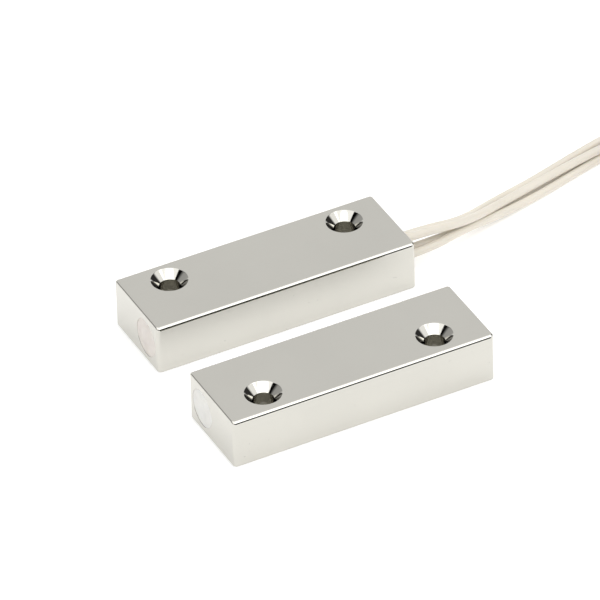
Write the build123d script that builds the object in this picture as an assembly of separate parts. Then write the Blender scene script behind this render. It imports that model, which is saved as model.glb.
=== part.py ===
from build123d import *
import math
import os

# Door contact sensor: a reed-switch unit with four flying leads, and its magnet unit.
# Millimetres. X runs along the units towards the leads, Y from the magnet unit to the
# switch unit, Z up. The origin is on the base plane, midway between the two units.

# Both housings are the same block
UNIT_LENGTH = 50.0
UNIT_WIDTH = 16.6
UNIT_HEIGHT = 9.4
CORNER_RADIUS = 0.45
TOP_EDGE_RADIUS = 0.4
BASE_EDGE_RADIUS = 0.2

# How the two units lie to each other, centre to centre
UNIT_PITCH = 29.6
UNIT_STAGGER = 0.6
SWITCH_PLACE = Pos(UNIT_STAGGER / 2, UNIT_PITCH / 2, 0)
MAGNET_PLACE = Pos(-UNIT_STAGGER / 2, -UNIT_PITCH / 2, 0)

# Countersunk screw holes, as X, Y from the middle of each unit
SCREW_HOLE_RADIUS = 1.9
COUNTERSINK_RADIUS = 3.3
COUNTERSINK_RIM_RADIUS = 0.12
SWITCH_SCREWS = [(-16.7, 3.5), (17.3, 3.5)]
MAGNET_SCREWS = [(-16.65, -3.15), (16.15, -3.15)]

# The long bore through each unit, and its plugs of potting
BORE_RADIUS = 3.5
BORE_HEIGHT = 4.7
SWITCH_BORE_Y = -3.7
MAGNET_BORE_Y = 3.5
MOUTH_CHAMFER = 0.2
POTTING_RECESS = 0.15
POTTING_OUTER_END = UNIT_LENGTH / 2 - POTTING_RECESS
BLIND_POTTING_INNER_END = 20.5
CABLE_POTTING_INNER_END = 18.5

# Insulating sleeve in the switch unit's bore
SLEEVE_OUTER_RADIUS = 3.45
SLEEVE_INNER_RADIUS = 3.05

# Carrier board. Heights in the switch unit's bore are from the bore's axis
BOARD_LEFT = -20.0
BOARD_RIGHT = 17.2
BOARD_WIDTH = 4.4
BOARD_BOTTOM = -2.0
BOARD_THICKNESS = 0.8
TRACK_THICKNESS = 0.07
TRACK_WIDTH = 0.6
TRACK_BOTTOM = BOARD_BOTTOM - TRACK_THICKNESS
PAD_RADIUS = 0.6
HOLE_CLEARANCE = 0.02
SOLDER_BASE_RADIUS = 0.5
SOLDER_TIP_RADIUS = 0.34
SOLDER_HEIGHT = 0.38
WIRE_END_HEIGHT = TRACK_BOTTOM - 0.3
WIRE_BEND_RADIUS = 0.5

# Reed switch
REED_CENTRE_X = -3.0
REED_HEIGHT = 0.3
GLASS_LENGTH = 14.0
GLASS_RADIUS = 1.1
GLASS_CAVITY_RADIUS = 0.75
GLASS_SEAL_LENGTH = 2.0
GLASS_END_RADIUS = 0.6
REED_LEAD_RADIUS = 0.25
REED_LEG_LEFT_X = -13.5
REED_LEG_RIGHT_X = 7.5
BLADE_THICKNESS = 0.2
BLADE_WIDTH = 1.2
BLADE_OVERLAP = 1.0
BLADE_GAP = 0.12
BLADE_ROOT_GAP = 0.02

# Leads. Each exit is Y, height in the bore; each pad is X, Y of its joint on the board
LEAD_RADIUS = 0.75
CONDUCTOR_RADIUS = 0.3
LEAD_START = 21.0
LEAD_EXITS = [(1.75, 2.0), (0.2, 2.5), (0.75, -0.4), (-0.8, -0.6)]
CONDUCTOR_PADS = [(13.5, 1.2), (13.5, -0.4), (16.0, 0.9), (16.0, -0.9)]
CONDUCTOR_STRAIGHT = 1.2
TRACK_DETOUR_Y = -1.6

# The coil of spare lead, four turns wound as two turns beside two turns
COIL_X = 88.0
COIL_Y = 13.4
COIL_INNER_RADIUS = 4.3
COIL_OUTER_RADIUS = 13.7
COIL_BOTTOM = 0.4
COIL_HEIGHT = 6.2
COIL_EDGE_RADIUS = 0.7
COIL_PATH_RADIUS = 12.0
LEAD_SPACING = 1.55
INNER_LEAD_Y = COIL_Y + COIL_PATH_RADIUS - LEAD_SPACING / 2
OUTER_LEAD_Y = COIL_Y + COIL_PATH_RADIUS + LEAD_SPACING / 2
LOW_LEAD_Z = COIL_BOTTOM + LEAD_RADIUS
HIGH_LEAD_Z = LOW_LEAD_Z + LEAD_SPACING

# Route points of the four leads between the potting and the coil, in the part's frame.
# Leads 1 and 2 leave high in the bore, 3 and 4 low; lead 4 lies nearest the magnet unit.
LEAD_ROUTES = [
    [(29.9, 12.85, 6.7), (38.36, 14.28, 4.5), (47.3, 19.97, 1.4), (56.25, 22.6, 0.78),
     (66.15, 25.1, 1.2), (74.15, 26.15, 2.3), (80.4, OUTER_LEAD_Y, HIGH_LEAD_Z),
     (86.0, OUTER_LEAD_Y, HIGH_LEAD_Z)],
    [(29.9, 11.3, 7.2), (38.36, 12.66, 5.3), (47.3, 17.43, 2.6), (56.25, 19.95, 2.35),
     (66.15, 22.45, 2.32), (74.15, 23.85, 2.45), (80.4, INNER_LEAD_Y, HIGH_LEAD_Z),
     (86.0, INNER_LEAD_Y, HIGH_LEAD_Z)],
    [(29.9, 11.85, 4.3), (38.36, 14.53, 2.1), (47.3, 17.97, 0.8), (56.25, 20.33, 0.75),
     (66.15, 23.24, 0.76), (74.15, 25.34, 0.85), (80.4, OUTER_LEAD_Y, LOW_LEAD_Z),
     (86.0, OUTER_LEAD_Y, LOW_LEAD_Z)],
    [(29.9, 10.3, 4.1), (38.36, 13.1, 3.5), (47.3, 16.26, 1.4), (56.25, 18.66, 0.75),
     (66.15, 21.58, 0.76), (74.15, 23.73, 0.85), (80.4, INNER_LEAD_Y, LOW_LEAD_Z),
     (86.0, INNER_LEAD_Y, LOW_LEAD_Z)],
]

# Tinned ends, which leave the top of the coil beside each other
TIP_RADIUS = 0.4
TIP_LENGTH = 6.0
TIP_LOW_Z = HIGH_LEAD_Z + LEAD_SPACING
TIP_HIGH_Z = TIP_LOW_Z + LEAD_SPACING

# Tie round the coil, on the side away from the units
TIE_THICKNESS = 0.4
TIE_WIDTH = 2.4
TIE_TWIST_RADIUS = 0.9
TIE_TWIST_LENGTH = 7.0
TIE_TWIST_Z = 3.0

# Magnet
MAGNET_LENGTH = 34.0
MAGNET_RADIUS = 3.0
MAGNET_SKIRT = 4.0

BASE_ALIGN = (Align.CENTER, Align.CENTER, Align.MIN)
ALONG_X = Rotation(0, 90, 0)


def rod(radius, start, end, y=0.0, z=0.0):
    """A round bar along X from start to end."""
    middle = (start + end) / 2
    return Pos(middle, y, z) * ALONG_X * Cylinder(radius, end - start)


def housing(bore_y, screws):
    """Solid block with a through bore and two countersunk screw holes."""
    block = Box(UNIT_LENGTH, UNIT_WIDTH, UNIT_HEIGHT, align=BASE_ALIGN)
    block = fillet(block.edges().filter_by(Axis.Z), CORNER_RADIUS)
    block = fillet(block.faces().sort_by(Axis.Z)[-1].edges(), TOP_EDGE_RADIUS)
    block = fillet(block.faces().sort_by(Axis.Z)[0].edges(), BASE_EDGE_RADIUS)
    block -= rod(BORE_RADIUS, -UNIT_LENGTH, UNIT_LENGTH, bore_y, BORE_HEIGHT)
    mouths = [face.edges().filter_by(GeomType.CIRCLE)
              for face in block.faces().filter_by(Axis.X)]
    block = chamfer([edge for mouth in mouths for edge in mouth], MOUTH_CHAMFER)
    depth = COUNTERSINK_RADIUS - SCREW_HOLE_RADIUS
    for x, y in screws:
        hole = Cylinder(SCREW_HOLE_RADIUS, UNIT_HEIGHT, align=BASE_ALIGN)
        sink = Cone(SCREW_HOLE_RADIUS, COUNTERSINK_RADIUS, depth, align=BASE_ALIGN)
        block -= Pos(x, y, 0) * (hole + Pos(0, 0, UNIT_HEIGHT - depth) * sink)
    top = block.faces().filter_by(Axis.Z).sort_by(Axis.Z)[-1]
    return fillet(top.edges().filter_by(GeomType.CIRCLE).filter_by(
        lambda edge: abs(edge.radius - COUNTERSINK_RADIUS) < 0.01), COUNTERSINK_RIM_RADIUS)


def in_switch_bore(shape):
    """Puts a piece modelled about the bore's axis into the switch unit."""
    return SWITCH_PLACE * Pos(0, SWITCH_BORE_Y, BORE_HEIGHT) * shape


def in_magnet_bore(shape):
    """Puts a piece modelled about the bore's axis into the magnet unit."""
    return MAGNET_PLACE * Pos(0, MAGNET_BORE_Y, BORE_HEIGHT) * shape


def blind_end_potting():
    return rod(BORE_RADIUS, -POTTING_OUTER_END, -BLIND_POTTING_INNER_END)


def cable_end_potting():
    """Plug at the lead end, cast round the four leads and their stripped conductors."""
    plug = rod(BORE_RADIUS, CABLE_POTTING_INNER_END, POTTING_OUTER_END)
    for number, (y, z) in enumerate(LEAD_EXITS):
        plug -= rod(LEAD_RADIUS, LEAD_START, UNIT_LENGTH, y, z)
        plug -= conductor(number)
    return plug


def insulating_sleeve():
    outside = rod(SLEEVE_OUTER_RADIUS, -BLIND_POTTING_INNER_END, CABLE_POTTING_INNER_END)
    return outside - rod(SLEEVE_INNER_RADIUS, -UNIT_LENGTH, UNIT_LENGTH)


def wire_joints():
    """Each soldered joint on the board, as X, Y and the radius of its wire."""
    joints = [(REED_LEG_LEFT_X, 0.0, REED_LEAD_RADIUS)]
    joints += [(REED_LEG_RIGHT_X, 0.0, REED_LEAD_RADIUS)]
    joints += [(x, y, CONDUCTOR_RADIUS) for x, y in CONDUCTOR_PADS]
    return joints


def cut_wire_holes(shape):
    for x, y, radius in wire_joints():
        shape -= Pos(x, y, BOARD_BOTTOM) * Cylinder(radius + HOLE_CLEARANCE, 4)
    return shape


def carrier_board():
    middle = (BOARD_LEFT + BOARD_RIGHT) / 2
    board = Box(BOARD_RIGHT - BOARD_LEFT, BOARD_WIDTH, BOARD_THICKNESS, align=BASE_ALIGN)
    return cut_wire_holes(Pos(middle, 0, BOARD_BOTTOM) * board)


def track(points):
    """One copper track under the board: straight strips with round joints and pads."""
    shape = Part()
    for x, y in points:
        shape += Pos(x, y, TRACK_BOTTOM) * Cylinder(TRACK_WIDTH / 2, TRACK_THICKNESS,
                                                    align=BASE_ALIGN)
    for (x1, y1), (x2, y2) in zip(points, points[1:]):
        strip = Box(abs(x2 - x1) or TRACK_WIDTH, abs(y2 - y1) or TRACK_WIDTH,
                    TRACK_THICKNESS, align=BASE_ALIGN)
        shape += Pos((x1 + x2) / 2, (y1 + y2) / 2, TRACK_BOTTOM) * strip
    for x, y in (points[0], points[-1]):
        shape += Pos(x, y, TRACK_BOTTOM) * Cylinder(PAD_RADIUS, TRACK_THICKNESS,
                                                    align=BASE_ALIGN)
    return cut_wire_holes(shape)


def board_tracks():
    """Two tracks join the reed switch to leads 1 and 2; one joins leads 3 and 4."""
    reed_left, reed_right, first, second, third, fourth = [
        (x, y) for x, y, radius in wire_joints()]
    to_first = track([reed_right, (reed_right[0], first[1]), first])
    to_second = track([reed_left, (reed_left[0], TRACK_DETOUR_Y),
                       (second[0], TRACK_DETOUR_Y), second])
    loop = track([third, (third[0], 0.0), (fourth[0], fourth[1])])
    return Compound(to_first.solids() + to_second.solids() + loop.solids())


def solder_joints():
    joints = []
    for x, y, radius in wire_joints():
        cone = Cone(SOLDER_TIP_RADIUS, SOLDER_BASE_RADIUS, SOLDER_HEIGHT, align=BASE_ALIGN)
        fillet_of_solder = Pos(x, y, TRACK_BOTTOM - SOLDER_HEIGHT) * cone
        wire = Pos(x, y, WIRE_END_HEIGHT) * Cylinder(radius, 4, align=BASE_ALIGN)
        joints += (fillet_of_solder - wire).solids()
    return Compound(joints)


def bent_wire(radius, points):
    """A round wire that sets off along X and bends with tight arcs at its other points."""
    path = FilletPolyline(*points, radius=WIRE_BEND_RADIUS)
    facing = (points[1][0] - points[0][0], 0, 0)
    profile = Plane(origin=points[0], z_dir=facing) * Circle(radius)
    return sweep(profile, path)


def reed_glass():
    """Sealed glass tube, with a hole in each seal for a lead."""
    half = GLASS_LENGTH / 2
    cavity_half = half - GLASS_SEAL_LENGTH
    tube = rod(GLASS_RADIUS, -half, half)
    tube = fillet(tube.edges().filter_by(GeomType.CIRCLE), GLASS_END_RADIUS)
    tube -= rod(GLASS_CAVITY_RADIUS, -cavity_half, cavity_half)
    tube -= rod(REED_LEAD_RADIUS, -GLASS_LENGTH, GLASS_LENGTH)
    return Pos(REED_CENTRE_X, 0, REED_HEIGHT) * tube


def reed_lead(side):
    """Round end of a reed, from the seal's inner face to the board. side is -1 or 1."""
    root_x = REED_CENTRE_X + side * (GLASS_LENGTH / 2 - GLASS_SEAL_LENGTH)
    leg_x = REED_LEG_LEFT_X if side < 0 else REED_LEG_RIGHT_X
    return bent_wire(REED_LEAD_RADIUS, [(root_x, 0, REED_HEIGHT), (leg_x, 0, REED_HEIGHT),
                                        (leg_x, 0, WIRE_END_HEIGHT)])


def reed_blade(side):
    """Flattened end of a reed, which bends to close the contact. side is -1 or 1."""
    root_x = REED_CENTRE_X + side * (GLASS_LENGTH / 2 - GLASS_SEAL_LENGTH - BLADE_ROOT_GAP)
    tip_x = REED_CENTRE_X - side * BLADE_OVERLAP / 2
    height = REED_HEIGHT + side * (BLADE_THICKNESS + BLADE_GAP) / 2
    blade = Box(abs(root_x - tip_x), BLADE_WIDTH, BLADE_THICKNESS)
    return Pos((root_x + tip_x) / 2, 0, height) * blade


def conductor(number):
    """Stripped end of a lead, from its insulation down through the board."""
    exit_y, height = LEAD_EXITS[number]
    pad_x, pad_y = CONDUCTOR_PADS[number]
    return bent_wire(CONDUCTOR_RADIUS, [
        (LEAD_START, exit_y, height), (LEAD_START - CONDUCTOR_STRAIGHT, exit_y, height),
        (pad_x, pad_y, height), (pad_x, pad_y, WIRE_END_HEIGHT)])


def corner_radii(points):
    """The largest arcs that a route's runs allow, with some straight left on each run."""
    radii = []
    for before, here, after in zip(points, points[1:], points[2:]):
        first_run = Vector(here) - Vector(before)
        second_run = Vector(after) - Vector(here)
        half_turn = math.radians(first_run.get_angle(second_run)) / 2
        shorter = min(first_run.length, second_run.length)
        radii.append(0.45 * shorter / math.tan(half_turn))
    return radii


def coil_blank():
    """Square-edged ring that the coil just fills."""
    ring = Cylinder(COIL_OUTER_RADIUS, COIL_HEIGHT, align=BASE_ALIGN)
    return ring - Cylinder(COIL_INNER_RADIUS, COIL_HEIGHT, align=BASE_ALIGN)


def coil():
    """Outer shape of the wound spare lead."""
    ring = fillet(coil_blank().edges().filter_by(GeomType.CIRCLE), COIL_EDGE_RADIUS)
    return Pos(COIL_X, COIL_Y, COIL_BOTTOM) * ring


def coil_drum():
    """A tall drum as wide as the coil, which trims whatever meets the coil's side."""
    return Pos(COIL_X, COIL_Y, 0) * Cylinder(COIL_OUTER_RADIUS, 4 * COIL_HEIGHT)


def lead(number):
    """One insulated lead, from inside the potting to the coil's side."""
    exit_y, height = LEAD_EXITS[number]
    start = in_switch_bore(Pos(LEAD_START, exit_y, height)).position
    points = [tuple(start)] + LEAD_ROUTES[number]
    radii = corner_radii(points)
    path = FilletPolyline(*points, radius=radii)
    profile = Plane(origin=points[0], z_dir=(1, 0, 0)) * Circle(LEAD_RADIUS)
    tube = sweep(profile, path)
    section = math.pi * LEAD_RADIUS ** 2
    print("lead", number + 1, "radii", [round(radius, 1) for radius in radii],
          "length", round(path.length, 2), "volume/section", round(tube.volume / section, 2))
    return tube - coil_drum()


def lead_tips():
    """Tinned ends of the four leads, just out of the coil's last turn."""
    tips = []
    for y in (INNER_LEAD_Y, OUTER_LEAD_Y):
        for z in (TIP_LOW_Z, TIP_HIGH_Z):
            reach = math.sqrt(COIL_OUTER_RADIUS ** 2 - (y - COIL_Y) ** 2)
            tip = rod(TIP_RADIUS, COIL_X, COIL_X + reach + TIP_LENGTH, y, z)
            tips += (tip - coil_drum()).solids()
    return Compound(tips)


def coil_tie():
    """Flat strip round the coil's windings, with its two ends twisted together."""
    wall = COIL_OUTER_RADIUS - COIL_INNER_RADIUS
    middle = (COIL_OUTER_RADIUS + COIL_INNER_RADIUS) / 2
    outside = Box(wall + 2 * TIE_THICKNESS, TIE_WIDTH, COIL_HEIGHT + 2 * TIE_THICKNESS)
    outside = fillet(outside.edges().filter_by(Axis.Y), COIL_EDGE_RADIUS)
    strip = Pos(COIL_X + middle, COIL_Y, COIL_BOTTOM + COIL_HEIGHT / 2) * outside
    strip -= Pos(COIL_X, COIL_Y, COIL_BOTTOM) * coil_blank()
    twist_start = COIL_X + COIL_OUTER_RADIUS
    twist = rod(TIE_TWIST_RADIUS, twist_start, twist_start + TIE_TWIST_LENGTH,
                COIL_Y, TIE_TWIST_Z)
    return strip + twist


def bar_magnet():
    magnet = rod(MAGNET_RADIUS, -MAGNET_LENGTH / 2, MAGNET_LENGTH / 2)
    return chamfer(magnet.edges().filter_by(GeomType.CIRCLE), MOUTH_CHAMFER)


def magnet_potting(side):
    """Plug in one end of the magnet's bore, run in round the magnet's end."""
    inner_end = MAGNET_LENGTH / 2 - MAGNET_SKIRT
    ends = sorted((side * inner_end, side * POTTING_OUTER_END))
    return rod(BORE_RADIUS, *ends) - bar_magnet()


def all_nodes():
    """Every piece of the object in its place, by name."""
    nodes = {
        "switch_housing": SWITCH_PLACE * housing(SWITCH_BORE_Y, SWITCH_SCREWS),
        "blind_end_potting": in_switch_bore(blind_end_potting()),
        "cable_end_potting": in_switch_bore(cable_end_potting()),
        "insulating_sleeve": in_switch_bore(insulating_sleeve()),
        "carrier_board": in_switch_bore(carrier_board()),
        "board_tracks": in_switch_bore(board_tracks()),
        "solder_joints": in_switch_bore(solder_joints()),
        "reed_glass": in_switch_bore(reed_glass()),
        "lead_coil": coil(),
        "lead_tips": lead_tips(),
        "coil_tie": coil_tie(),
        "magnet_housing": MAGNET_PLACE * housing(MAGNET_BORE_Y, MAGNET_SCREWS),
        "bar_magnet": in_magnet_bore(bar_magnet()),
    }
    for name, side in (("left", -1), ("right", 1)):
        nodes["reed_lead_" + name] = in_switch_bore(reed_lead(side))
        nodes["reed_blade_" + name] = in_switch_bore(reed_blade(side))
        nodes["magnet_potting_" + name] = in_magnet_bore(magnet_potting(side))
    for number in range(len(LEAD_EXITS)):
        nodes[f"conductor_{number + 1}"] = in_switch_bore(conductor(number))
        nodes[f"lead_{number + 1}"] = lead(number)
    return nodes


os.makedirs("parts", exist_ok=True)
for name, shape in all_nodes().items():
    export_step(shape, os.path.join("parts", name + ".step"))
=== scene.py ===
"""Door contact sensor: a reed switch block with four flying leads, and its magnet block.

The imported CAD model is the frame. This file finishes it: the plated blocks, the cast epoxy in
their ends, the leads with their wound-up spare length, the tie round it, and the finishes of the
pieces inside. Lengths are in metres.
"""

import math

import bmesh
import bpy
from bpy.props import FloatProperty, FloatVectorProperty, IntProperty, PointerProperty
from bpy.types import Operator, Panel, PropertyGroup
from mathutils import Matrix, Vector


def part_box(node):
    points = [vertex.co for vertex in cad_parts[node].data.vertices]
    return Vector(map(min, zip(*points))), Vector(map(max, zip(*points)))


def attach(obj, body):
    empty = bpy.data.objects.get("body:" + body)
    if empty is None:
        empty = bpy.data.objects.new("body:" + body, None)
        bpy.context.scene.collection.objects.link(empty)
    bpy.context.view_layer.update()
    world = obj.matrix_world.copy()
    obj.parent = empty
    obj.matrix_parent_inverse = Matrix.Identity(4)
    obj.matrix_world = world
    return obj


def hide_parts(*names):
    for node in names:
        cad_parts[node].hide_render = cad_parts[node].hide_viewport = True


bl_info = {
    "name": "Door contact sensor",
    "version": (1, 0, 0),
    "blender": (4, 5, 0),
    "location": "View3D > Sidebar > Door contact",
    "description": "Builds the looks of a two-block magnetic door contact",
    "category": "Add Mesh",
}

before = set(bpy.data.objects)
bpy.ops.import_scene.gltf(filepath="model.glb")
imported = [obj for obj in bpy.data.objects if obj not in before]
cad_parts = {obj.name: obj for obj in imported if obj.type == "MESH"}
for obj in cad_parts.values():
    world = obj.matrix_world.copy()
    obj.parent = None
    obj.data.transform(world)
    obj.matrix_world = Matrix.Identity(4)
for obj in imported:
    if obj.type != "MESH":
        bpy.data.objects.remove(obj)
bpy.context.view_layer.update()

MM = 0.001
SWITCH_LOW, SWITCH_HIGH = (Vector(c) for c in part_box("switch_housing"))
MAGNET_LOW, MAGNET_HIGH = (Vector(c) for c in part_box("magnet_housing"))
LEADS = ("lead_1", "lead_2", "lead_3", "lead_4")


# ---------------------------------------------------------------- settings


def length(name, description, default, smallest=0.0, largest=2.0):
    return FloatProperty(
        name=name,
        description=description,
        default=default,
        min=smallest,
        max=largest,
        precision=5,
        subtype="DISTANCE",
        unit="LENGTH",
    )


def colour(name, description, default):
    return FloatVectorProperty(
        name=name, description=description, default=default, min=0.0, max=1.0, size=3, subtype="COLOR"
    )


class BlockSizes(PropertyGroup):
    """The shape of the two plated blocks, beyond their outer size, which the CAD model gives."""

    upright_radius: length("Upright edge radius", "Rounding of the four upright edges", 0.75 * MM)
    long_edge_radius: length("Long edge radius", "Rounding of the two long top edges", 0.75 * MM)
    short_edge_radius: length("Short edge radius", "Rounding of the two short top edges", 0.25 * MM)
    base_edge_radius: length("Base edge radius", "Rounding of the edges on the mounting face", 0.16 * MM)
    rim_radius: length("Rim radius", "Rounding of the countersinks' rims", 0.1 * MM)
    screw_hole_radius: length("Screw hole radius", "Radius of the screw holes' straight part", 1.9 * MM)
    countersink_depth: length("Countersink depth", "Depth of the 90 degree countersinks", 1.4 * MM)
    bore_radius: length("Bore radius", "Radius of the long bore", 3.5 * MM)
    bore_height: length("Bore height", "Height of the long bore's axis over the base", 4.7 * MM)
    mouth_chamfer: length("Bore mouth chamfer", "Chamfer at the two mouths of the long bore", 0.03 * MM)
    plug_bulge: length("Plug bulge", "How far the middle of a cast plug stands before its rim", 0.06 * MM)


class LeadSizes(PropertyGroup):
    """The four flying leads and how their spare length is wound."""

    diameter: length("Diameter", "Diameter over the insulation", 1.5 * MM)
    spacing: length("Spacing", "Distance between neighbouring leads in the wound coil", 1.55 * MM)
    free_length: length("Length", "Length of each lead from the block to the insulation's end", 0.30)
    coil_radius: length("Coil radius", "Radius of the coil's outer turn, at the middle of the bundle", 12.0 * MM)
    core_radius: length("Core radius", "Radius of the coil's inner turn, at the middle of the bundle", 5.7 * MM)
    turns_per_layer: IntProperty(
        name="Turns per layer", description="Turns in each of the coil's two layers", default=2, min=1, max=6
    )
    points_per_turn: IntProperty(
        name="Points per turn", description="Curve points in one turn of the coil", default=16, min=12, max=32
    )
    tip_length: length("Tip length", "Length of the tinned, stripped end", 6.0 * MM)


class FinishColours(PropertyGroup):
    """The colours of the finishes."""

    plating: colour("Plating", "Bright nickel plate", (0.585, 0.572, 0.527))
    switch_epoxy: colour("Switch block epoxy", "Cast epoxy in the switch block's ends", (0.70, 0.64, 0.59))
    magnet_epoxy: colour("Magnet block epoxy", "Cast epoxy in the magnet block's ends", (0.74, 0.73, 0.69))
    insulation: colour("Lead insulation", "Off-white vinyl", (0.74, 0.69, 0.605))
    tinning: colour("Tinning", "Tinned copper", (0.70, 0.69, 0.66))
    tie: colour("Tie", "Vinyl on the tie", (0.80, 0.80, 0.77))


class StudioSettings(PropertyGroup):
    """The table, the light and the camera."""

    softbox_height: length("Softbox height", "Height of the overhead softbox", 1.2, largest=5.0)
    softbox_width: length("Softbox width", "Size of the softbox across the view", 2.18, largest=5.0)
    softbox_front: FloatVectorProperty(
        name="Front panel", description="Where the softbox's front panel starts and ends along the view",
        default=(-1.44, -0.72), size=2, unit="LENGTH",
    )
    softbox_rear: FloatVectorProperty(
        name="Rear panel", description="Where the softbox's rear panel starts and ends along the view",
        default=(-0.72, 0.48), size=2, unit="LENGTH",
    )
    front_glow: FloatProperty(name="Front glow", description="Brightness of the front panel", default=2.5, min=0.0)
    rear_glow: FloatProperty(name="Rear glow", description="Brightness of the rear panel", default=1.5, min=0.0)
    table_glow: FloatProperty(
        name="Table glow", description="Light that the backlit shooting table gives", default=0.3, min=0.0
    )
    lens: FloatProperty(name="Lens", description="Focal length", default=483.86, unit="CAMERA")
    camera_place: FloatVectorProperty(
        name="Camera place", description="Where the camera stands", default=(-0.48819, -0.98592, 0.84188),
        size=3, subtype="TRANSLATION", unit="LENGTH",
    )
    camera_aim: FloatVectorProperty(
        name="Camera aim", description="Direction the camera looks in", default=(0.35377, 0.71525, -0.60271),
        size=3, subtype="DIRECTION",
    )
    camera_up: FloatVectorProperty(
        name="Camera up", description="Direction of the picture's upper edge", default=(0.29754, 0.52484, 0.7975),
        size=3, subtype="DIRECTION",
    )


# ---------------------------------------------------------------- finishes


def node(tree, kind, inputs=None, **settings):
    """A new node with its settings and inputs set; an input's value may be another node's output."""
    made = tree.nodes.new(kind)
    for key, value in settings.items():
        setattr(made, key, value)
    for key, value in (inputs or {}).items():
        if isinstance(value, bpy.types.NodeSocket):
            tree.links.new(value, made.inputs[key])
        else:
            made.inputs[key].default_value = value
    return made


def noise(tree, where, scale, detail=2.0, roughness=0.5):
    made = node(
        tree, "ShaderNodeTexNoise", {"Vector": where, "Scale": scale, "Detail": detail, "Roughness": roughness}
    )
    return made.outputs["Fac"]


def stretched(tree, where, scale):
    return node(tree, "ShaderNodeMapping", {"Vector": where, "Scale": scale}).outputs["Vector"]


def spread(tree, value, from_min, from_max, to_min, to_max):
    made = node(
        tree,
        "ShaderNodeMapRange",
        {"Value": value, "From Min": from_min, "From Max": from_max, "To Min": to_min, "To Max": to_max},
    )
    return made.outputs["Result"]


def blended(tree, factor, first, second, how="MIX"):
    made = node(tree, "ShaderNodeMix", data_type="RGBA", blend_type=how)
    for socket, value in ((0, factor), (6, first), (7, second)):
        if isinstance(value, bpy.types.NodeSocket):
            tree.links.new(value, made.inputs[socket])
        else:
            made.inputs[socket].default_value = value
    return made.outputs[2]


def shade(rgb, factor=1.0):
    return tuple(min(1.0, channel * factor) for channel in rgb) + (1.0,)


def finish_material(name):
    """(material, node tree, shader, Object coordinates) of a new finish."""
    material = bpy.data.materials.new(name)
    material.use_nodes = True
    tree = material.node_tree
    where = node(tree, "ShaderNodeTexCoord").outputs["Object"]
    return material, tree, tree.nodes["Principled BSDF"], where


def set_bump(tree, shader, height, distance, strength=1.0):
    made = node(tree, "ShaderNodeBump", {"Height": height, "Distance": distance, "Strength": strength})
    tree.links.new(made.outputs["Normal"], shader.inputs["Normal"])


def set_stops(ramp, stops):
    """Gives a colour ramp its (place, brightness) stops."""
    elements = ramp.color_ramp.elements
    while len(elements) < len(stops):
        elements.new(0.5)
    for element, (place, value) in zip(elements, stops):
        element.position = place
        element.color = (value, value, value, 1.0)


def plated_metal(rgb):
    material, tree, shader, where = finish_material("plated_metal")
    shader.inputs["Metallic"].default_value = 1.0
    cloud = noise(tree, where, 70.0, 3.0)
    grain = noise(tree, where, 900.0, 4.0, 0.6)
    tint = blended(tree, spread(tree, cloud, 0.3, 0.7, 0.0, 1.0), shade(rgb, 0.985), shade(rgb, 1.015))
    speck = spread(tree, noise(tree, where, 1500.0, 1.0), 0.76, 0.80, 0.0, 0.35)
    tree.links.new(blended(tree, speck, tint, shade(rgb, 0.6)), shader.inputs["Base Color"])
    tree.links.new(spread(tree, grain, 0.3, 0.7, 0.05, 0.10), shader.inputs["Roughness"])
    set_bump(tree, shader, grain, 1.2e-6)
    return material


def cast_epoxy(name, rgb, warm):
    material, tree, shader, where = finish_material(name)
    cloud = noise(tree, where, 420.0, 4.0, 0.6)
    tree.links.new(
        blended(tree, spread(tree, cloud, 0.3, 0.7, 0.0, 1.0), shade(rgb, 0.93), shade(warm)),
        shader.inputs["Base Color"],
    )
    tree.links.new(spread(tree, noise(tree, where, 1200.0), 0.3, 0.7, 0.28, 0.45), shader.inputs["Roughness"])
    shader.inputs["Subsurface Weight"].default_value = 0.12
    shader.inputs["Subsurface Radius"].default_value = (0.0008, 0.0006, 0.0004)
    set_bump(tree, shader, noise(tree, where, 1800.0, 3.0), 1.2e-5)
    return material


def lead_insulation(rgb):
    material, tree, shader, where = finish_material("lead_insulation")
    cloud = noise(tree, where, 160.0, 3.0)
    grime = spread(tree, noise(tree, where, 1100.0, 4.0, 0.65), 0.58, 0.75, 0.0, 0.35)
    body = blended(tree, spread(tree, cloud, 0.3, 0.7, 0.0, 1.0), shade(rgb, 0.97), shade(rgb, 1.03))
    tree.links.new(
        blended(tree, grime, body, (rgb[0] * 0.90, rgb[1] * 0.86, rgb[2] * 0.78, 1.0)), shader.inputs["Base Color"]
    )
    tree.links.new(spread(tree, noise(tree, where, 900.0), 0.3, 0.7, 0.32, 0.46), shader.inputs["Roughness"])
    shader.inputs["Subsurface Weight"].default_value = 0.1
    shader.inputs["Subsurface Radius"].default_value = (0.0007, 0.0005, 0.0003)
    set_bump(tree, shader, noise(tree, where, 2600.0, 2.0), 4e-6)
    return material


def soft_metal(name, rgb, low=0.22, high=0.4, scale=1400.0, relief=3e-6, along=(1.0, 1.0, 1.0)):
    material, tree, shader, where = finish_material(name)
    where = stretched(tree, where, along)
    shader.inputs["Metallic"].default_value = 1.0
    grain = noise(tree, where, scale, 4.0, 0.6)
    tree.links.new(
        blended(tree, spread(tree, grain, 0.3, 0.7, 0.0, 1.0), shade(rgb, 0.9), shade(rgb, 1.06)),
        shader.inputs["Base Color"],
    )
    tree.links.new(spread(tree, noise(tree, where, scale * 0.5), 0.3, 0.7, low, high), shader.inputs["Roughness"])
    set_bump(tree, shader, grain, relief)
    return material


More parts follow.
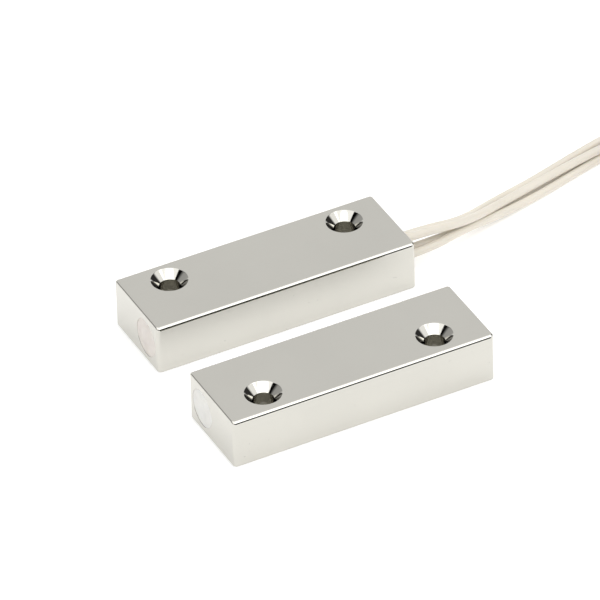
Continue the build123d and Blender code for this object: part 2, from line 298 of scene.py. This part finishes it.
def moulded(name, rgb, low=0.4, high=0.55, scale=1600.0, relief=4e-6):
    material, tree, shader, where = finish_material(name)
    cloud = noise(tree, where, scale * 0.2, 3.0)
    tree.links.new(
        blended(tree, spread(tree, cloud, 0.3, 0.7, 0.0, 1.0), shade(rgb, 0.93), shade(rgb, 1.05)),
        shader.inputs["Base Color"],
    )
    tree.links.new(spread(tree, noise(tree, where, scale), 0.3, 0.7, low, high), shader.inputs["Roughness"])
    set_bump(tree, shader, noise(tree, where, scale * 1.5, 3.0), relief)
    return material


def board_laminate():
    material, tree, shader, where = finish_material("board_laminate")
    weave = node(tree, "ShaderNodeTexWave", {"Vector": where, "Scale": 260.0, "Distortion": 0.6}, bands_direction="X")
    cross = node(tree, "ShaderNodeTexWave", {"Vector": where, "Scale": 260.0, "Distortion": 0.6}, bands_direction="Y")
    cloth = blended(tree, 0.5, weave.outputs["Color"], cross.outputs["Color"])
    tree.links.new(
        blended(tree, cloth, (0.03, 0.13, 0.05, 1.0), (0.05, 0.19, 0.08, 1.0)), shader.inputs["Base Color"]
    )
    tree.links.new(spread(tree, noise(tree, where, 900.0), 0.3, 0.7, 0.22, 0.34), shader.inputs["Roughness"])
    set_bump(tree, shader, cloth, 4e-6)
    return material


def reed_glass():
    material, tree, shader, where = finish_material("reed_glass")
    tree.links.new(
        blended(tree, noise(tree, where, 300.0), (0.72, 0.86, 0.76, 1.0), (0.80, 0.92, 0.84, 1.0)),
        shader.inputs["Base Color"],
    )
    tree.links.new(spread(tree, noise(tree, where, 700.0), 0.3, 0.7, 0.02, 0.06), shader.inputs["Roughness"])
    shader.inputs["Transmission Weight"].default_value = 0.95
    shader.inputs["IOR"].default_value = 1.5
    set_bump(tree, shader, noise(tree, where, 500.0), 2e-6)
    return material


def put_material(obj, material):
    obj.data.materials.clear()
    obj.data.materials.append(material)


# ---------------------------------------------------------------- mesh helpers


def link_mesh(name, bm, material, smooth=True):
    """A new object at the origin that holds bm."""
    mesh = bpy.data.meshes.new(name)
    bm.to_mesh(mesh)
    bm.free()
    obj = bpy.data.objects.new(name, mesh)
    bpy.context.scene.collection.objects.link(obj)
    if smooth:
        mesh.shade_smooth()
    if material is not None:
        put_material(obj, material)
    return obj


def evaluated_mesh(obj):
    """A plain mesh of obj with its modifiers applied."""
    depsgraph = bpy.context.evaluated_depsgraph_get()
    return bpy.data.meshes.new_from_object(obj.evaluated_get(depsgraph), depsgraph=depsgraph)


def turned(profile, centre, axis, steps=64):
    """A closed bmesh: the profile, points in the plane through the axis, spun a full turn round it."""
    bm = bmesh.new()
    verts = [bm.verts.new(p) for p in profile]
    edges = [bm.edges.new(pair) for pair in zip(verts, verts[1:])]
    bmesh.ops.spin(
        bm, geom=verts + edges, cent=centre, axis=axis, angle=math.tau, steps=steps, use_merge=True, dvec=(0, 0, 0)
    )
    bmesh.ops.remove_doubles(bm, verts=bm.verts, dist=1e-7)
    bmesh.ops.recalc_face_normals(bm, faces=bm.faces)
    return bm


# ---------------------------------------------------------------- operators


class DOORCONTACT_OT_studio(Operator):
    """Sets the table, the softbox, the room's light and the camera"""

    bl_idname = "doorcontact.studio"
    bl_label = "Studio"

    TABLE_GAP = 0.05 * MM  # the table lies this far under the blocks, so the faces don't fight

    def execute(self, context):
        scene, studio = context.scene, context.scene.contact_studio
        aim, up = Vector(studio.camera_aim).normalized(), Vector(studio.camera_up).normalized()
        forward = Vector((aim.x, aim.y, 0)).normalized()
        across = forward.cross(Vector((0, 0, 1)))

        lens = bpy.data.cameras.new("camera")
        lens.lens, lens.sensor_width = studio.lens, 36.0
        lens.clip_start, lens.clip_end = 0.05, 20.0
        camera = bpy.data.objects.new("camera", lens)
        right = aim.cross(up).normalized()
        up = right.cross(aim)
        turn = Matrix((right, up, -aim)).transposed().to_4x4()
        camera.matrix_world = Matrix.Translation(studio.camera_place) @ turn
        scene.collection.objects.link(camera)
        scene.camera = camera

        bm = bmesh.new()
        bmesh.ops.create_circle(bm, cap_ends=True, segments=96, radius=2.5)
        bmesh.ops.translate(bm, verts=bm.verts, vec=(0, 0, -self.TABLE_GAP))
        table = link_mesh("table", bm, None, smooth=False)
        material, tree, shader, where = finish_material("table_acrylic")
        tree.links.new(
            blended(tree, noise(tree, where, 3.0), (0.90, 0.90, 0.895, 1), (0.92, 0.92, 0.915, 1)),
            shader.inputs["Base Color"],
        )
        shader.inputs["Roughness"].default_value = 0.9
        shader.inputs["Specular IOR Level"].default_value = 0.0
        shader.inputs["Emission Color"].default_value = (1, 1, 1, 1)
        shader.inputs["Emission Strength"].default_value = studio.table_glow
        put_material(table, material)

        for name, (near, far), glow in (
            ("softbox_front", studio.softbox_front, studio.front_glow),
            ("softbox_rear", studio.softbox_rear, studio.rear_glow),
        ):
            lamp = bpy.data.lights.new(name, "AREA")
            lamp.shape, lamp.size, lamp.size_y = "RECTANGLE", studio.softbox_width, far - near
            lamp.energy = glow * math.pi * lamp.size * lamp.size_y
            panel = bpy.data.objects.new(name, lamp)
            place = forward * (near + far) / 2 + Vector((0, 0, studio.softbox_height))
            turn = Matrix((across, forward, Vector((0, 0, 1)))).transposed().to_4x4()
            panel.matrix_world = Matrix.Translation(place) @ turn
            panel.visible_camera = False
            scene.collection.objects.link(panel)

        self.room_light(scene, forward, across)
        scene.view_settings.view_transform = "Standard"
        scene.view_settings.look = "None"
        return {"FINISHED"}

    def room_light(self, scene, forward, across):
        """The room round the table: a pale backdrop behind it, a window on the right, dark at the front."""
        world = bpy.data.worlds.new("room")
        world.use_nodes = True
        scene.world = world
        tree = world.node_tree
        background = tree.nodes["Background"]
        where = node(tree, "ShaderNodeTexCoord").outputs["Generated"]
        height = node(tree, "ShaderNodeSeparateXYZ", {"Vector": where}).outputs["Z"]

        def dot(direction):
            made = node(tree, "ShaderNodeVectorMath", {0: where, 1: direction}, operation="DOT_PRODUCT")
            return made.outputs["Value"]

        def maths(how, first, second):
            return node(tree, "ShaderNodeMath", {0: first, 1: second}, operation=how).outputs["Value"]

        ahead, aside = dot(forward), dot(across)
        flat = maths("SQRT", maths("ADD", maths("MULTIPLY", ahead, ahead), maths("MULTIPLY", aside, aside)), 0.0)
        flat = maths("MAXIMUM", flat, 0.001)
        facing, sideways = maths("DIVIDE", ahead, flat), maths("DIVIDE", aside, flat)
        behind = node(tree, "ShaderNodeValToRGB", {"Fac": height})
        set_stops(behind, ((0.0, 1.30), (0.25, 1.05), (0.45, 0.84), (0.60, 0.93), (0.75, 0.93)))
        round_room = node(tree, "ShaderNodeMath", {0: sideways, 1: facing}, operation="ARCTAN2").outputs["Value"]
        sides = node(tree, "ShaderNodeValToRGB", {"Fac": spread(tree, round_room, -math.pi, math.pi, 0.0, 1.0)})
        set_stops(
            sides,
            ((0.0, 0.40), (0.14, 0.45), (0.27, 0.45), (0.37, 0.50), (0.62, 0.04), (0.70, 0.04), (0.73, 1.3),
             (0.83, 1.3), (0.86, 0.03), (0.97, 0.03)),
        )
        dim = blended(tree, spread(tree, height, 0.50, 0.62, 0.0, 1.0), sides.outputs["Color"], (0.0, 0.0, 0.0, 1.0))
        left_high = blended(tree, spread(tree, sideways, 0.0, 0.1, 0.0, 1.0), dim, sides.outputs["Color"])
        room = blended(tree, spread(tree, facing, 0.70, 0.82, 0.0, 1.0), left_high, behind.outputs["Color"])
        tree.links.new(room, background.inputs["Color"])


class DOORCONTACT_OT_leads(Operator):
    """Lays the four leads and winds their spare length"""

    bl_idname = "doorcontact.leads"
    bl_label = "Leads"

    # each lead's place where it leaves the block (across, up), and its way to the coil, in millimetres
    EXITS = ((12.85, 6.7), (11.3, 7.2), (11.85, 4.3), (10.3, 4.1))
    ROUTES = (
        ((29.9, 12.85, 6.7), (38.36, 14.28, 4.5), (47.3, 19.97, 1.4), (56.25, 22.6, 0.78),
         (66.15, 25.1, 1.2), (74.15, 26.15, 2.3), (80.4, 26.175, 2.7), (86.0, 26.175, 2.7)),
        ((29.9, 11.3, 7.2), (38.36, 12.66, 5.3), (47.3, 17.43, 2.6), (56.25, 19.95, 2.35),
         (66.15, 22.45, 2.32), (74.15, 23.85, 2.45), (80.4, 24.625, 2.7), (86.0, 24.625, 2.7)),
        ((29.9, 11.85, 4.3), (38.36, 14.53, 2.5), (47.3, 17.97, 0.8), (56.25, 20.33, 0.75),
         (66.15, 23.24, 0.76), (74.15, 25.34, 0.85), (80.4, 26.175, 1.15), (86.0, 26.175, 1.15)),
        ((29.9, 10.3, 4.1), (38.36, 13.1, 3.5), (47.3, 16.26, 1.4), (56.25, 18.66, 0.75),
         (66.15, 21.58, 0.76), (74.15, 23.73, 0.85), (80.4, 24.625, 1.15), (86.0, 24.625, 1.15)),
    )
    BUNDLE = ((1, 1), (-1, 1), (1, -1), (-1, -1))  # place in the bundle: outwards, up
    START_X, EXIT_X, END_X = 21.3, 25.3, (91.8, 91.8)
    COIL_CENTRE = (88.0, 13.4)
    LOW_LAYER, HIGH_LAYER = 1.925, 5.025  # heights of the coil's two layers, at the middle of the bundle
    TIP_TAPER = (0.93, 0.85, 0.7)  # how each of the last steps of a tinned tip narrows

    def execute(self, context):
        sizes, colours = context.scene.contact_leads, context.scene.contact_colours
        vinyl = lead_insulation(colours.insulation)
        tinned = soft_metal("tinned_copper", colours.tinning, 0.25, 0.42)
        self.shared = {}
        for index, name in enumerate(LEADS):
            points = self.points(index, sizes)
            lead = self.curve(name.replace("lead", "flying_lead"), points, sizes.diameter, vinyl)
            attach(lead, "switch_unit")
            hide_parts(name, "lead_coil")
            tip = self.tip(f"tinned_tip_{index + 1}", points[-1], sizes, tinned)
            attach(tip, "switch_unit")
            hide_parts("lead_tips")
        return {"FINISHED"}

    def points(self, index, sizes):
        """The lead's route, then its turns: inwards in the low layer, up, and outwards in the high layer."""
        outward, upward = self.BUNDLE[index]
        half = sizes.spacing / 2
        route = [(self.START_X,) + self.EXITS[index]] + list(self.ROUTES[index])
        points = [Vector(p) * MM for p in route]
        count, layer_turns = sizes.points_per_turn, sizes.turns_per_layer
        swell = 2 / (1 + math.cos(math.pi / count))
        steps = 2 * layer_turns * count
        for step in range(steps + 1):
            turn = step / count
            share = abs(turn - layer_turns) / layer_turns
            radius = sizes.core_radius + (sizes.coil_radius - sizes.core_radius) * share
            rise = min(1.0, max(0.0, (turn - layer_turns) / 0.6 + 0.5))
            rise = rise * rise * (3 - 2 * rise)
            height = (self.LOW_LAYER + (self.HIGH_LAYER - self.LOW_LAYER) * rise) * MM
            roll = math.pi * rise
            side = half * (outward * math.cos(roll) - upward * math.sin(roll))
            lift = half * (outward * math.sin(roll) + upward * math.cos(roll))
            angle = math.pi / 2 - math.tau * turn
            reach = (radius + side) * swell
            points.append(
                Vector(
                    (
                        self.COIL_CENTRE[0] * MM + reach * math.cos(angle),
                        self.COIL_CENTRE[1] * MM + reach * math.sin(angle),
                        height + lift,
                    )
                )
            )
        last = points[-1]
        end = self.END_X[0 if outward < 0 else 1] * MM
        points += [last + Vector((0.0022, 0, 0)), Vector((end, last.y, last.z))]
        return points

    def curve(self, name, points, diameter, material):
        data = bpy.data.curves.new(name, "CURVE")
        data.dimensions = "3D"
        data.bevel_depth = diameter / 2
        data.bevel_resolution = 7
        data.resolution_u = 12
        data.use_fill_caps = True
        spline = data.splines.new("NURBS")
        spline.points.add(len(points) - 1)
        for point, place in zip(spline.points, points):
            point.co = (*place, 1.0)
        spline.order_u = 3
        spline.use_endpoint_u = True
        lead = bpy.data.objects.new(name, data)
        bpy.context.scene.collection.objects.link(lead)
        put_material(lead, material)
        return lead

    def tip(self, name, start, sizes, material):
        """Seven tinned strands twisted together, as one fluted rod with a rounded end."""
        bm = bmesh.new()
        strands, steps, radius = 7, 18, 0.40 * MM
        ring = bmesh.ops.create_circle(bm, segments=strands * 6, radius=radius)["verts"]
        for vert in ring:
            angle = math.atan2(vert.co.y, vert.co.x)
            vert.co *= 1.0 - 0.13 * (1 - abs(math.cos(angle * strands / 2)))
        bmesh.ops.rotate(bm, verts=bm.verts, cent=(0, 0, 0), matrix=Matrix.Rotation(math.pi / 2, 3, "Y"))
        bmesh.ops.translate(bm, verts=bm.verts, vec=start - Vector((0.0008, 0, 0)))
        edges = list(bm.edges)
        pitch = (sizes.tip_length + 0.0008) / steps
        for step in range(steps):
            made = bmesh.ops.extrude_edge_only(bm, edges=edges)["geom"]
            verts = [g for g in made if isinstance(g, bmesh.types.BMVert)]
            edges = [g for g in made if isinstance(g, bmesh.types.BMEdge)]
            bmesh.ops.translate(bm, verts=verts, vec=(pitch, 0, 0))
            centre = Vector((verts[0].co.x, start.y, start.z))
            bmesh.ops.rotate(bm, verts=verts, cent=centre, matrix=Matrix.Rotation(0.16, 3, "X"))
            if step >= steps - len(self.TIP_TAPER):
                narrow = self.TIP_TAPER[step - steps]
                bmesh.ops.scale(bm, verts=verts, vec=(1, narrow, narrow), space=Matrix.Translation(-centre))
        bmesh.ops.holes_fill(bm, edges=[e for e in bm.edges if e.is_boundary], sides=0)
        bmesh.ops.recalc_face_normals(bm, faces=bm.faces)
        return link_mesh(name, bm, material)


class DOORCONTACT_OT_blocks(Operator):
    """Makes the two plated blocks with their screw holes and long bores"""

    bl_idname = "doorcontact.blocks"
    bl_label = "Plated blocks"

    BLOCKS = (
        ("switch_block", "switch_housing", "switch_unit", SWITCH_LOW, SWITCH_HIGH,
         ((-16.7, 3.5), (17.3, 3.5)), -3.7),
        ("magnet_block", "magnet_housing", "magnet_unit", MAGNET_LOW, MAGNET_HIGH,
         ((-16.65, -3.15), (16.15, -3.15)), 3.5),
    )

    def execute(self, context):
        sizes = context.scene.contact_blocks
        plating = plated_metal(context.scene.contact_colours.plating)
        for name, cad_node, body, low, high, screws, bore in self.BLOCKS:
            middle = (low + high) / 2
            block = self.body(name, low, high, sizes)
            cutters = [self.screw_cutter(middle.x + x * MM, middle.y + y * MM, high.z, sizes) for x, y in screws]
            cutters.append(self.bore_cutter(low.x, high.x, middle.y + bore * MM, sizes))
            self.cut(block, cutters)
            put_material(block, plating)
            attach(block, body)
            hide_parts(cad_node)
        return {"FINISHED"}

    def body(self, name, low, high, sizes):
        """The solid block: upright edges rounded first, then the top's and the base's outline."""
        bm = bmesh.new()
        bmesh.ops.create_cube(bm, size=1.0)
        bmesh.ops.scale(bm, verts=bm.verts, vec=high - low)
        bmesh.ops.translate(bm, verts=bm.verts, vec=(low + high) / 2)
        upright = [e for e in bm.edges if abs(e.verts[0].co.z - e.verts[1].co.z) > MM]
        bmesh.ops.bevel(
            bm, geom=upright, offset=sizes.upright_radius, offset_type="OFFSET", segments=10,
            profile=0.5, affect="EDGES", material=-1, clamp_overlap=True,
        )
        block = link_mesh(name, bm, None)
        mesh = block.data
        weights = mesh.attributes.new("bevel_weight_edge", "FLOAT", "EDGE")
        for edge in mesh.edges:
            ends = [mesh.vertices[i].co for i in edge.vertices]
            if all(p.z > high.z - 1e-6 for p in ends):
                radius = self.top_radius((ends[0] + ends[1]) / 2, low, high, sizes)
                weights.data[edge.index].value = radius / sizes.long_edge_radius
            elif all(p.z < low.z + 1e-6 for p in ends):
                weights.data[edge.index].value = sizes.base_edge_radius / sizes.long_edge_radius
        tool = block.modifiers.new("edges", "BEVEL")
        tool.limit_method, tool.offset_type = "WEIGHT", "OFFSET"
        tool.width, tool.segments, tool.profile = sizes.long_edge_radius, 10, 0.5
        tool.use_clamp_overlap = False
        return block

    @staticmethod
    def top_radius(middle, low, high, sizes):
        """The rounding of the top's outline: the long edges', the short edges', or between them at a corner."""
        to_end = min(abs(middle.x - low.x), abs(middle.x - high.x))
        to_side = min(abs(middle.y - low.y), abs(middle.y - high.y))
        if to_side < 1e-6:
            return sizes.long_edge_radius
        if to_end < 1e-6:
            return sizes.short_edge_radius
        share = math.atan2(sizes.upright_radius - to_side, sizes.upright_radius - to_end) / (math.pi / 2)
        return sizes.short_edge_radius + (sizes.long_edge_radius - sizes.short_edge_radius) * share

    def screw_cutter(self, x, y, top, sizes):
        """What a screw hole takes away: hole, 90 degree countersink and the rounding of its rim."""
        hole, depth, rim, over = sizes.screw_hole_radius, sizes.countersink_depth, sizes.rim_radius, MM
        edge = hole + depth + rim * math.tan(math.pi / 8)
        profile = [(x, y, -over), (x + hole + 0.12 * MM + over, y, -over), (x + hole, y, 0.12 * MM)]
        profile.append((x + hole, y, top - depth))
        for step in range(7):
            angle = math.pi / 4 * step / 6
            reach = edge - rim * math.sin(math.pi / 4 - angle)
            profile.append((x + reach, y, top - rim * (1 - math.cos(math.pi / 4 - angle)) - 4e-7))
        profile += [(x + edge, y, top + over), (x, y, top + over)]
        return link_mesh("screw_cutter", turned(profile, (x, y, 0), (0, 0, 1), 96), None)

    def bore_cutter(self, left, right, y, sizes):
        z, radius, lip, over = sizes.bore_height, sizes.bore_radius, sizes.mouth_chamfer, MM
        profile = [
            (left - over, y, z), (left - over, y, z + radius + lip + over), (left + lip, y, z + radius),
            (right - lip, y, z + radius), (right + over, y, z + radius + lip + over), (right + over, y, z),
        ]
        return link_mesh("bore_cutter", turned(profile, (0, y, z), (1, 0, 0), 96), None)

    def cut(self, block, cutters):
        for cutter in cutters:
            tool = block.modifiers.new("hole", "BOOLEAN")
            tool.operation, tool.solver, tool.object = "DIFFERENCE", "EXACT", cutter
        mesh = evaluated_mesh(block)
        block.modifiers.clear()
        block.data = mesh
        for cutter in cutters:
            bpy.data.objects.remove(cutter)
        mesh.shade_smooth()
        mesh.set_sharp_from_angle(angle=math.radians(32))
        flat = block.modifiers.new("flat_faces", "WEIGHTED_NORMAL")
        flat.keep_sharp, flat.weight, flat.mode = True, 100, "FACE_AREA"


class DOORCONTACT_OT_epoxy(Operator):
    """Casts the epoxy that closes the four ends of the bores"""

    bl_idname = "doorcontact.epoxy"
    bl_label = "Cast epoxy"

    def execute(self, context):
        colours = context.scene.contact_colours
        beige = cast_epoxy("switch_potting", colours.switch_epoxy, (0.75, 0.70, 0.645))
        grey = cast_epoxy("magnet_potting", colours.magnet_epoxy, (0.80, 0.79, 0.75))
        put_material(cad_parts["cable_end_potting"], beige)
        sizes = context.scene.contact_blocks
        for cad_node, body, slot, low, high, material in (
            ("blind_end_potting", "switch_unit", "switch_potting", SWITCH_LOW, SWITCH_HIGH, beige),
            ("magnet_potting_left", "magnet_unit", "magnet_potting", MAGNET_LOW, MAGNET_HIGH, grey),
            ("magnet_potting_right", "magnet_unit", "magnet_potting", MAGNET_LOW, MAGNET_HIGH, grey),
        ):
            plug = self.plug(cad_node, low, high, sizes)
            put_material(plug, material)
            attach(plug, body)
            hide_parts(cad_node)
        return {"FINISHED"}

    @staticmethod
    def plug(cad_node, block_low, block_high, sizes):
        """A cast plug, flush with the mouth in its middle and a little lower at its rim."""
        low, high = (Vector(c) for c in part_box(cad_node))
        left = low.x - block_low.x < block_high.x - high.x
        mouth, inside = (block_low.x, high.x) if left else (block_high.x, low.x)
        out = -1 if left else 1
        radius, bulge = sizes.bore_radius, sizes.plug_bulge
        y, z = (low.y + high.y) / 2, sizes.bore_height
        profile = [(inside, y, z), (inside, y, z + radius - 2e-6), (mouth - out * bulge, y, z + radius - 2e-6)]
        for step in range(8, -1, -1):
            share = step / 8
            profile.append((mouth - out * bulge * share**2, y, z + share * (radius - 3e-5)))
        return link_mesh(cad_node.replace("potting", "plug"), turned(profile, (0, y, z), (1, 0, 0), 96), None)


class DOORCONTACT_OT_tie(Operator):
    """Gives the tie round the wound leads its moulded finish"""

    bl_idname = "doorcontact.tie"
    bl_label = "Coil tie"

    def execute(self, context):
        put_material(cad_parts["coil_tie"], moulded("tie_plastic", context.scene.contact_colours.tie))
        return {"FINISHED"}


class DOORCONTACT_OT_insides(Operator):
    """Finishes the pieces inside the blocks"""

    bl_idname = "doorcontact.insides"
    bl_label = "Insides"

    def execute(self, context):
        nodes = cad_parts
        tinned = bpy.data.materials["tinned_copper"]
        reed = soft_metal("reed_metal", (0.52, 0.51, 0.48), 0.2, 0.34, 1600.0, 2e-6, (0.2, 1.0, 1.0))
        finishes = {
            "insulating_sleeve": moulded("sleeve_plastic", (0.035, 0.035, 0.038)),
            "carrier_board": board_laminate(),
            "board_tracks": soft_metal("copper", (0.62, 0.26, 0.13), 0.25, 0.4),
            "solder_joints": soft_metal("solder", (0.62, 0.62, 0.62), 0.14, 0.3, 700.0, 6e-6),
            "reed_glass": reed_glass(),
            "reed_lead_left": reed,
            "reed_lead_right": reed,
            "reed_blade_left": reed,
            "reed_blade_right": reed,
            "bar_magnet": soft_metal("magnet_alloy", (0.17, 0.17, 0.17), 0.32, 0.5, 900.0, 5e-6, (0.15, 1.0, 1.0)),
        }
        for number in range(1, 5):
            finishes[f"conductor_{number}"] = tinned
        for name, material in finishes.items():
            put_material(nodes[name], material)
        return {"FINISHED"}


# ---------------------------------------------------------------- panel and registration

OPERATORS = (
    DOORCONTACT_OT_studio,
    DOORCONTACT_OT_leads,
    DOORCONTACT_OT_blocks,
    DOORCONTACT_OT_epoxy,
    DOORCONTACT_OT_tie,
    DOORCONTACT_OT_insides,
)
GROUPS = {
    "contact_blocks": BlockSizes,
    "contact_leads": LeadSizes,
    "contact_colours": FinishColours,
    "contact_studio": StudioSettings,
}


class DOORCONTACT_PT_sidebar(Panel):
    """Lists the settings and the steps that build the door contact"""

    bl_idname = "DOORCONTACT_PT_sidebar"
    bl_label = "Door contact"
    bl_space_type = "VIEW_3D"
    bl_region_type = "UI"
    bl_category = "Door contact"

    def draw(self, context):
        for name, group in GROUPS.items():
            box = self.layout.box()
            for prop in group.__annotations__:
                box.prop(getattr(context.scene, name), prop)
        for operator in OPERATORS:
            self.layout.operator(operator.bl_idname)


def register():
    for cls in (*GROUPS.values(), *OPERATORS, DOORCONTACT_PT_sidebar):
        bpy.utils.register_class(cls)
    for name, group in GROUPS.items():
        setattr(bpy.types.Scene, name, PointerProperty(type=group))


def unregister():
    for name in GROUPS:
        delattr(bpy.types.Scene, name)
    for cls in (DOORCONTACT_PT_sidebar, *reversed(OPERATORS), *reversed(list(GROUPS.values()))):
        bpy.utils.unregister_class(cls)


def main():
    register()
    bpy.ops.doorcontact.studio()
    bpy.ops.doorcontact.leads()
    bpy.ops.doorcontact.blocks()
    bpy.ops.doorcontact.epoxy()
    bpy.ops.doorcontact.tie()
    bpy.ops.doorcontact.insides()


if __name__ == "__main__":
    main()
